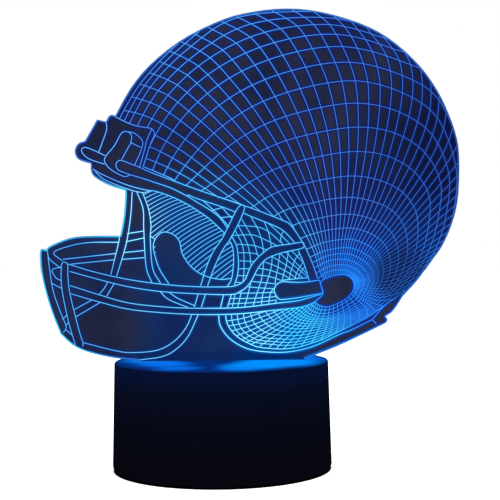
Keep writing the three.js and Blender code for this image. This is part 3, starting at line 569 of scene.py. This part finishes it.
def engraving(name, runs, profile, height=RIDGE):
    """Ridges with a three-cornered section along each run, on both faces of the panel. The profile
    gives the left edge, the right edge and the crest as (how far to the left of the run, "across").
    The attribute "across" grows from 0 on the line's core to 1 where its halo ends."""
    verts, faces, across = [], [], []
    for side in (-1, 1):
        low, high = side * (HALF_THICKNESS - SINK), side * (HALF_THICKNESS + height)
        for run in runs:
            run = [p for i, p in enumerate(run) if i == 0 or math.dist(p, run[i - 1]) > SAME_PLACE]
            first, count = len(verts), len(run)
            for i, (x, z) in enumerate(run):
                back, ahead = run[max(i - 1, 0)], run[min(i + 1, count - 1)]
                length = math.dist(back, ahead)
                left_x, left_z = (back[1] - ahead[1]) / length, (ahead[0] - back[0]) / length
                for (offset, share), y in zip(profile, (low, low, high)):
                    kept = on_panel(x, z, x + left_x * offset, z + left_z * offset)
                    place = (x + left_x * offset * kept, z + left_z * offset * kept)
                    verts.append((place[0] * MM, y, place[1] * MM))
                    across.append(share * kept)
            for a in range(first, first + 3 * (count - 1), 3):
                b = a + 3
                quads = [(a, b, b + 1, a + 1), (a + 1, b + 1, b + 2, a + 2), (a + 2, b + 2, b, a)]
                faces += [quad[::side] for quad in quads]
            last = first + 3 * (count - 1)
            faces += [(first, first + 1, first + 2)[::side], (last + 2, last + 1, last)[::side]]
    mesh = bpy.data.meshes.new(name)
    mesh.from_pydata(verts, [], faces)
    mesh.update()
    layer = mesh.attributes.new("across", "FLOAT", "POINT")
    layer.data.foreach_set("value", across)
    piece = bpy.data.objects.new(name, mesh)
    bpy.context.scene.collection.objects.link(piece)
    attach(piece, "panel")
    return piece


# ---- materials ----------------------------------------------------------------------------------


class Nodes:
    """A material's node tree, with short calls for the nodes used here."""

    def __init__(self, name):
        self.material = bpy.data.materials.new(name)
        self.material.use_nodes = True
        self.tree = self.material.node_tree
        self.shader = self.tree.nodes["Principled BSDF"]

    def node(self, kind, **settings):
        made = self.tree.nodes.new(kind)
        for key, value in settings.items():
            setattr(made, key, value)
        return made

    def join(self, source, target):
        self.tree.links.new(source, target)

    def set(self, **sockets):
        for key, value in sockets.items():
            self.shader.inputs[key.replace("_", " ")].default_value = value

    def position(self):
        return self.node("ShaderNodeTexCoord").outputs["Object"]

    def math(self, operation, a, b=None, clamp=False):
        made = self.node("ShaderNodeMath", operation=operation, use_clamp=clamp)
        for socket, value in zip(made.inputs, (a, b)):
            if value is None:
                continue
            if isinstance(value, (int, float)):
                socket.default_value = value
            else:
                self.join(value, socket)
        return made.outputs[0]

    def near(self, place, inner, outer, position=None):
        """1 within the inner radius of a place, falling smoothly to 0 at the outer one."""
        gap = self.node("ShaderNodeVectorMath", operation="DISTANCE")
        self.join(position or self.position(), gap.inputs[0])
        gap.inputs[1].default_value = place
        fade = self.node("ShaderNodeMapRange", interpolation_type="SMOOTHSTEP")
        self.join(gap.outputs["Value"], fade.inputs["Value"])
        fade.inputs["From Min"].default_value = outer
        fade.inputs["From Max"].default_value = inner
        return fade.outputs["Result"]

    def ramp(self, value, stops, interpolation="EASE"):
        made = self.node("ShaderNodeValToRGB")
        elements = made.color_ramp.elements
        made.color_ramp.interpolation = interpolation
        while len(elements) < len(stops):
            elements.new(1)
        for element, (place, colour) in zip(elements, stops):
            element.position = place
            element.color = (*colour, 1)
        self.join(value, made.inputs[0])
        return made.outputs["Color"]

    def mix(self, share, a, b, blend="MIX"):
        made = self.node("ShaderNodeMix", data_type="RGBA", blend_type=blend)
        for socket, value in zip((made.inputs[0], made.inputs[6], made.inputs[7]), (share, a, b)):
            if isinstance(value, tuple):
                socket.default_value = (*value, 1)
            elif isinstance(value, (int, float)):
                socket.default_value = value
            else:
                self.join(value, socket)
        return made.outputs[2]

    def noise(self, scale, detail=3, roughness=0.5):
        made = self.node("ShaderNodeTexNoise")
        self.join(self.position(), made.inputs["Vector"])
        made.inputs["Scale"].default_value = scale
        made.inputs["Detail"].default_value = detail
        made.inputs["Roughness"].default_value = roughness
        return made.outputs["Fac"]

    def bump(self, height, strength, distance):
        made = self.node("ShaderNodeBump")
        made.inputs["Strength"].default_value = strength
        made.inputs["Distance"].default_value = distance
        self.join(height, made.inputs["Height"])
        self.join(made.outputs[0], self.shader.inputs["Normal"])

    def colour(self, source):
        self.join(source, self.shader.inputs["Base Color"])

    def glow(self, source, strength=1.0):
        self.join(source, self.shader.inputs["Emission Color"])
        self.shader.inputs["Emission Strength"].default_value = strength


def srgb(red, green, blue):
    """A colour given as it looks on a screen, 0 to 255, as linear light."""

    def linear(value):
        share = value / 255
        return share / 12.92 if share <= 0.04045 else ((share + 0.055) / 1.055) ** 2.4

    return linear(red), linear(green), linear(blue)


# The light in the panel, place by place: where [x, z] in mm, how far it holds and where it ends,
# then its colours as they look on a screen. The first entry holds wherever no other one reaches.
ENGRAVING = [  # the colours of a line and of the halo round it
    ((10, 140), 0, 0, (66, 122, 204), (2, 28, 118)),
    ((-15, 178), 10, 60, (78, 164, 236), (2, 36, 132)),
    ((84, 125), 14, 60, (46, 92, 182), (4, 26, 98)),
    ((66, 84), 8, 34, (38, 104, 200), (4, 34, 110)),
    ((-64, 130), 6, 26, (104, 176, 230), (2, 32, 110)),
    ((-72, 76), 14, 44, (80, 166, 228), (4, 36, 108)),
    ((-30, 60), 12, 40, (104, 194, 236), (0, 48, 122)),
    ((-24, 94), 16, 38, (90, 194, 246), (0, 58, 138)),
    ((-50, 99), 8, 20, (150, 240, 252), (2, 58, 132)),
    ((4, 84), 12, 32, (84, 198, 248), (0, 54, 132)),
    ((4, 53), 14, 34, (130, 240, 254), (0, 84, 174)),
    ((27, 57), 10, 24, (64, 214, 252), (2, 84, 184)),
    ((43, 72), 10, 28, (34, 130, 240), (6, 46, 148)),
    ((60, 77), 7, 17, (30, 80, 158), (3, 26, 86)),
]
SHEET = [  # the bare sheet between the lines
    ((10, 140), 0, 0, (40, 44, 66)),
    ((84, 125), 10, 56, (15, 22, 48)),
    ((-25, 62), 16, 50, (14, 42, 94)),
    ((0, 86), 12, 44, (20, 48, 96)),
    ((-64, 78), 6, 30, (34, 46, 78)),
    ((-58, 56), 6, 22, (30, 37, 64)),
    ((8, 46), 5, 24, (2, 48, 114)),
]
CUT_EDGE = [  # the bright cut edge all round
    ((10, 140), 0, 0, (44, 108, 202)),
    ((90, 120), 20, 60, (40, 84, 162)),
    ((-84, 66), 14, 44, (58, 196, 244)),
    ((-50, 104), 6, 22, (64, 204, 242)),
    ((55, 50), 10, 40, (38, 124, 236)),
]


OWN, HALO = 0, 1  # which of a place's colours


def lit(nodes, places, which=OWN):
    """The light's colour across the panel, from one of the lists above."""
    _, _, _, *everywhere = places[0]
    colour = srgb(*everywhere[which])
    for (x, z), inner, outer, *colours in places[1:]:
        weight = nodes.near((x * MM, 0, z * MM), inner * MM, outer * MM)
        colour = nodes.mix(weight, colour, srgb(*colours[which]))
    return colour


def bare_sheet(nodes):
    """The smoked sheet between the lines, with a faint uneven haze."""
    haze = nodes.ramp(nodes.noise(42, 3), [(0.3, (0.5, 0.58, 0.8)), (0.7, (1, 1, 1))])
    return nodes.mix(1.0, lit(nodes, SHEET), haze, "MULTIPLY")


def acrylic():
    nodes = Nodes("acrylic")
    sheet = bare_sheet(nodes)
    split = nodes.node("ShaderNodeSeparateXYZ")
    nodes.join(nodes.node("ShaderNodeNewGeometry").outputs["True Normal"], split.inputs[0])
    edge = nodes.math("LESS_THAN", nodes.math("ABSOLUTE", split.outputs["Y"]), 0.5)
    nodes.glow(nodes.mix(edge, sheet, lit(nodes, CUT_EDGE)))
    nodes.colour(nodes.mix(0.97, sheet, (0.0, 0.0, 0.0)))
    nodes.set(Roughness=0.06, IOR=1.49, Specular_IOR_Level=0.02)
    nodes.bump(nodes.noise(900, 2), 0.02, 0.02 * MM)
    return nodes.material


def engraved(name, core, light, level):
    """A frosted line: its bright core takes up the given share of the ridge, its halo the rest."""
    nodes = Nodes(name)
    across = nodes.node("ShaderNodeAttribute", attribute_name="across").outputs["Fac"]
    bright = nodes.ramp(across, [(core * 0.5, (1, 1, 1)), (core * 1.5, (0, 0, 0))])
    glow = nodes.ramp(across, [(core, (1, 1, 1)), (0.45, (0.75, 0.75, 0.75)), (1, (0, 0, 0))])
    around = nodes.mix(glow, bare_sheet(nodes), lit(nodes, ENGRAVING, HALO))
    frosted = nodes.mix(1.0, light(nodes), (level,) * 3, "MULTIPLY")
    nodes.glow(nodes.mix(bright, around, frosted))
    nodes.set(Base_Color=(0.0, 0.0, 0.0, 1), Roughness=0.35, Specular_IOR_Level=0.02)
    return nodes.material


def moulded(name, colour, roughness=0.45, grain=2600, strength=0.15, specular=0.4):
    """Moulded plastic: fine spark-eroded grain and slight changes of colour and gloss."""
    nodes = Nodes(name)
    lighter = tuple(min(1, c * 1.25 + 0.0003) for c in colour)
    nodes.colour(nodes.mix(nodes.noise(140, 3), colour, lighter))
    rough = nodes.ramp(nodes.noise(320, 3), [
        (0.3, (roughness * 0.85,) * 3), (0.7, (min(1, roughness * 1.2),) * 3),
    ])
    nodes.join(rough, nodes.shader.inputs["Roughness"])
    nodes.set(Specular_IOR_Level=specular)
    nodes.bump(nodes.noise(grain, 2), strength, 0.05 * MM)
    return nodes


# Painted light, where the panel's light spills over the base's top: [x, y] in mm from its centre,
# how far it holds and where it ends, and its colour. It is the same behind the panel as in front of it.
SPILL = [
    ((-28, 0), 4, 16, (8, 130, 250)),
    ((-22, 15), 4, 15, (4, 112, 238)),
    ((-16, 31), 2, 13, (3, 104, 222)),
    ((26, 0), 7, 21, (4, 120, 244)),
    ((22, 14), 9, 21, (1, 142, 255)),
    ((13, 25), 5, 17, (2, 144, 255)),
    ((8, 34), 2, 12, (4, 126, 242)),
]


def base_black():
    """The base's satin black, with painted blue light: on its top where the panel's light spills, and fading
    down its sides.
    """
    nodes = moulded("base_black", srgb(2, 2, 4), 0.55, specular=0.0)
    split = nodes.node("ShaderNodeSeparateXYZ")
    nodes.join(nodes.position(), split.inputs[0])
    folded = nodes.node("ShaderNodeCombineXYZ")
    nodes.join(split.outputs["X"], folded.inputs["X"])
    nodes.join(nodes.math("ABSOLUTE", split.outputs["Y"]), folded.inputs["Y"])
    folded.inputs["Z"].default_value = BASE_TOP
    # painted light on the top: a blue glow, brightest where the panel's light spills
    painted_spill_glow = srgb(2, 46, 122)
    for (x, y), inner, outer, colour in SPILL:
        place = (BASE_X + x * MM, y * MM, BASE_TOP)
        painted_spill_glow = nodes.mix(nodes.near(place, inner * MM, outer * MM, folded.outputs[0]), painted_spill_glow, srgb(*colour))
    rounded = 0.7 * MM
    above = nodes.math("SUBTRACT", split.outputs["Z"], BASE_TOP - rounded)
    top = nodes.math("DIVIDE", above, rounded, clamp=True)
    # painted light down the sides: a blue glow, darker towards the floor and brighter towards the top
    painted_wall_glow = nodes.ramp(nodes.math("DIVIDE", split.outputs["Z"], BASE_TOP, clamp=True), [
        (0.05, srgb(3, 3, 8)), (0.42, srgb(2, 4, 14)), (0.74, srgb(3, 8, 25)), (0.95, srgb(2, 13, 46)),
    ])
    nodes.glow(nodes.mix(top, painted_wall_glow, painted_spill_glow))
    return nodes.material


def wear_steel(name):
    nodes = Nodes(name)
    nodes.colour(nodes.mix(nodes.noise(900, 4), srgb(196, 198, 202), srgb(150, 152, 158)))
    nodes.set(Metallic=1.0, Specular_IOR_Level=0.5)
    rough = nodes.ramp(nodes.noise(1500, 3), [(0.3, (0.22,) * 3), (0.7, (0.4,) * 3)])
    nodes.join(rough, nodes.shader.inputs["Roughness"])
    nodes.bump(nodes.noise(5000, 2), 0.1, 0.02 * MM)
    return nodes.material


def board(name, colour, trace):
    """Solder mask over faint copper tracks."""
    nodes = Nodes(name)
    brick = nodes.node("ShaderNodeTexBrick")
    nodes.join(nodes.position(), brick.inputs["Vector"])
    brick.inputs["Scale"].default_value = 260
    brick.inputs["Color1"].default_value = (*colour, 1)
    brick.inputs["Color2"].default_value = (*colour, 1)
    brick.inputs["Mortar"].default_value = (*trace, 1)
    brick.inputs["Mortar Size"].default_value = 0.03
    nodes.colour(brick.outputs["Color"])
    nodes.set(Roughness=0.35, Specular_IOR_Level=0.5)
    nodes.bump(nodes.noise(3000, 2), 0.08, 0.02 * MM)
    return nodes.material


def battery_sleeve():
    """A shrink sleeve in two colours, split across the cell's length."""
    nodes = Nodes("battery_sleeve")
    split = nodes.node("ShaderNodeSeparateXYZ")
    nodes.join(nodes.position(), split.inputs[0])
    along = nodes.math("MULTIPLY", nodes.math("SUBTRACT", split.outputs["X"], BASE_X), 18)
    place = nodes.math("ADD", along, 0.5, clamp=True)
    nodes.colour(nodes.ramp(place, [
        (0, srgb(176, 178, 182)), (0.06, srgb(20, 78, 110)), (0.72, srgb(20, 78, 110)),
        (0.76, srgb(196, 150, 60)),
    ], "CONSTANT"))
    nodes.set(Roughness=0.28, Specular_IOR_Level=0.5)
    nodes.bump(nodes.noise(700, 2), 0.05, 0.03 * MM)
    return nodes.material


def lit_led():
    nodes = Nodes("lit_led")
    nodes.colour(nodes.mix(nodes.noise(1800, 2), srgb(236, 240, 252), srgb(210, 220, 244)))
    nodes.glow(nodes.ramp(nodes.noise(900, 2), [(0.3, srgb(90, 190, 255)), (0.7, srgb(150, 220, 255))]), 1.6)
    nodes.set(Roughness=0.3)
    return nodes.material


materials = {
    "acrylic": acrylic(),
    "base": base_black(),
    "plastic": moulded("black_plastic", srgb(8, 8, 12), 0.5, specular=0.08).material,
    "white": moulded("white_plastic", srgb(226, 227, 222), 0.5, strength=0.08).material,
    "rubber": moulded(
        "black_rubber", srgb(20, 20, 21), 0.85, grain=1800, strength=0.3, specular=0.2
    ).material,
    "steel": wear_steel("nickel_steel"),
    "white_board": board("white_board", srgb(228, 230, 226), srgb(206, 210, 206)),
    "green_board": board("green_board", srgb(24, 84, 44), srgb(44, 116, 66)),
    "sleeve": battery_sleeve(),
    "led": lit_led(),
    "red": moulded("red_insulation", srgb(176, 26, 20), 0.4, grain=900, strength=0.05).material,
    "black": moulded("black_insulation", srgb(18, 18, 19), 0.4, grain=900, strength=0.05).material,
}
LOOKS = {
    "acrylic": ("acrylic_panel",),
    "base": ("base_housing",),
    "plastic": ("bottom_cover", "battery_door", "power_socket", "mode_switch", "push_button",
                "control_chip"),
    "white": ("led_holder", "switch_plunger"),
    "rubber": ("foot_",),
    "steel": ("cover_screw_", "battery_spring_", "contact_plate_", "holder_screw_", "led_board_screw_",
              "board_screw_", "socket_pin"),
    "white_board": ("led_board",),
    "green_board": ("control_board",),
    "sleeve": ("battery_cell_",),
    "led": ("led_",),
    "red": ("led_lead_red", "battery_lead_red"),
    "black": ("led_lead_black", "battery_lead_black"),
}


def look_of(node):
    """The look whose longest prefix fits the node's name."""
    fits = [(len(prefix), look) for look, prefixes in LOOKS.items()
            for prefix in prefixes if node.startswith(prefix)]
    return max(fits)[1]


for name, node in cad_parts.items():
    for slot in node.material_slots:
        slot.material = materials[look_of(name)]

HALF_LINE = 1.3  # half the width of a line with its halo, mm
LINE_PROFILE = ((HALF_LINE, 1), (-HALF_LINE, 1), (0, 0))
EDGE_PROFILE = ((1.6, 1), (0.02, 0), (0.3, 0))


def line_light(nodes):
    return lit(nodes, ENGRAVING)


def edge_light(nodes):
    return lit(nodes, CUT_EDGE)


fine = engraved("engraved_fine", 0.09, line_light, 1.4)
bold = engraved("engraved_bold", 0.11, line_light, 1.5)
for name, runs in lines.items():
    piece = engraving(f"engraving_{name}", runs, LINE_PROFILE)
    piece.data.materials.append(bold if name == "helmet_lines" else fine)

# The bright band just inside the cut edge, from the slot round to the slot again.
gap = max(range(len(free_outline)), key=lambda i: math.dist(free_outline[i], free_outline[i - 1]))
edge_run = free_outline[gap:] + free_outline[:gap]
edge_band = engraving("engraving_outline", [edge_run], EDGE_PROFILE, RIDGE * 1.2)
edge_band.data.materials.append(engraved("engraved_edge", 0.26, edge_light, 1.1))

# ---- floor, light and camera --------------------------------------------------------------------

floor_mesh = bpy.data.meshes.new("floor")
FLOOR = 4.0  # half its width, m
corners = [(-FLOOR, -FLOOR, 0), (FLOOR, -FLOOR, 0), (FLOOR, FLOOR, 0), (-FLOOR, FLOOR, 0)]
floor_mesh.from_pydata(corners, [], [(0, 1, 2, 3)])
floor = bpy.data.objects.new("floor", floor_mesh)
bpy.context.scene.collection.objects.link(floor)
paper = Nodes("paper_floor")
SHADOW, SHADOW_END = 43.4 * MM, 44.4 * MM  # the contact shadow's radius, and where it ends
shadow = paper.near((BASE_X, 0, 0), SHADOW, SHADOW_END)
grain = paper.mix(paper.noise(6, 2), srgb(250, 250, 250), srgb(253, 253, 253))
paper.colour(paper.mix(shadow, grain, (0.0, 0.0, 0.0)))
paper.glow(paper.mix(shadow, (1.0, 1.0, 1.0), (0.0, 0.0, 0.0)))
paper.set(Roughness=0.9, Specular_IOR_Level=0.0)
# seen from below the floor is clear, so that the underside shows
surface = paper.tree.nodes["Material Output"].inputs["Surface"]
below = paper.node("ShaderNodeMixShader")
paper.join(paper.node("ShaderNodeNewGeometry").outputs["Backfacing"], below.inputs[0])
paper.join(paper.shader.outputs[0], below.inputs[1])
paper.join(paper.node("ShaderNodeBsdfTransparent").outputs[0], below.inputs[2])
paper.join(below.outputs[0], surface)
floor_mesh.materials.append(paper.material)

world = bpy.data.worlds.new("studio")
bpy.context.scene.world = world
world.use_nodes = True
world.node_tree.nodes["Background"].inputs[0].default_value = (1, 1, 1, 1)
world.node_tree.nodes["Background"].inputs[1].default_value = 1.0


def softbox(name, place, aim, size, power):
    light = bpy.data.lights.new(name, "AREA")
    light.energy = power
    light.size = size
    lamp = bpy.data.objects.new(name, light)
    bpy.context.scene.collection.objects.link(lamp)
    lamp.location = place
    lamp.rotation_euler = (Vector(aim) - Vector(place)).to_track_quat("-Z", "Y").to_euler()


softbox("key", (-0.7, -0.6, 1.1), (0, 0, 0.08), 0.8, 6)
softbox("fill", (0.9, -0.5, 0.7), (0, 0, 0.08), 0.9, 3)

bpy.context.scene.view_settings.view_transform = "Standard"

camera_data = bpy.data.cameras.new("camera")
camera_data.sensor_width = 36
camera_data.lens = 82.06
camera = bpy.data.objects.new("camera", camera_data)
bpy.context.scene.collection.objects.link(camera)
CAMERA_DISTANCE, CAMERA_HEIGHT = 460 * MM, 87.5 * MM
ROLL = math.radians(0.63)  # the photo stands this much askew
camera.location = (0, -CAMERA_DISTANCE, CAMERA_HEIGHT)
camera.rotation_euler = (math.pi / 2, ROLL, 0)
bpy.context.scene.camera = camera
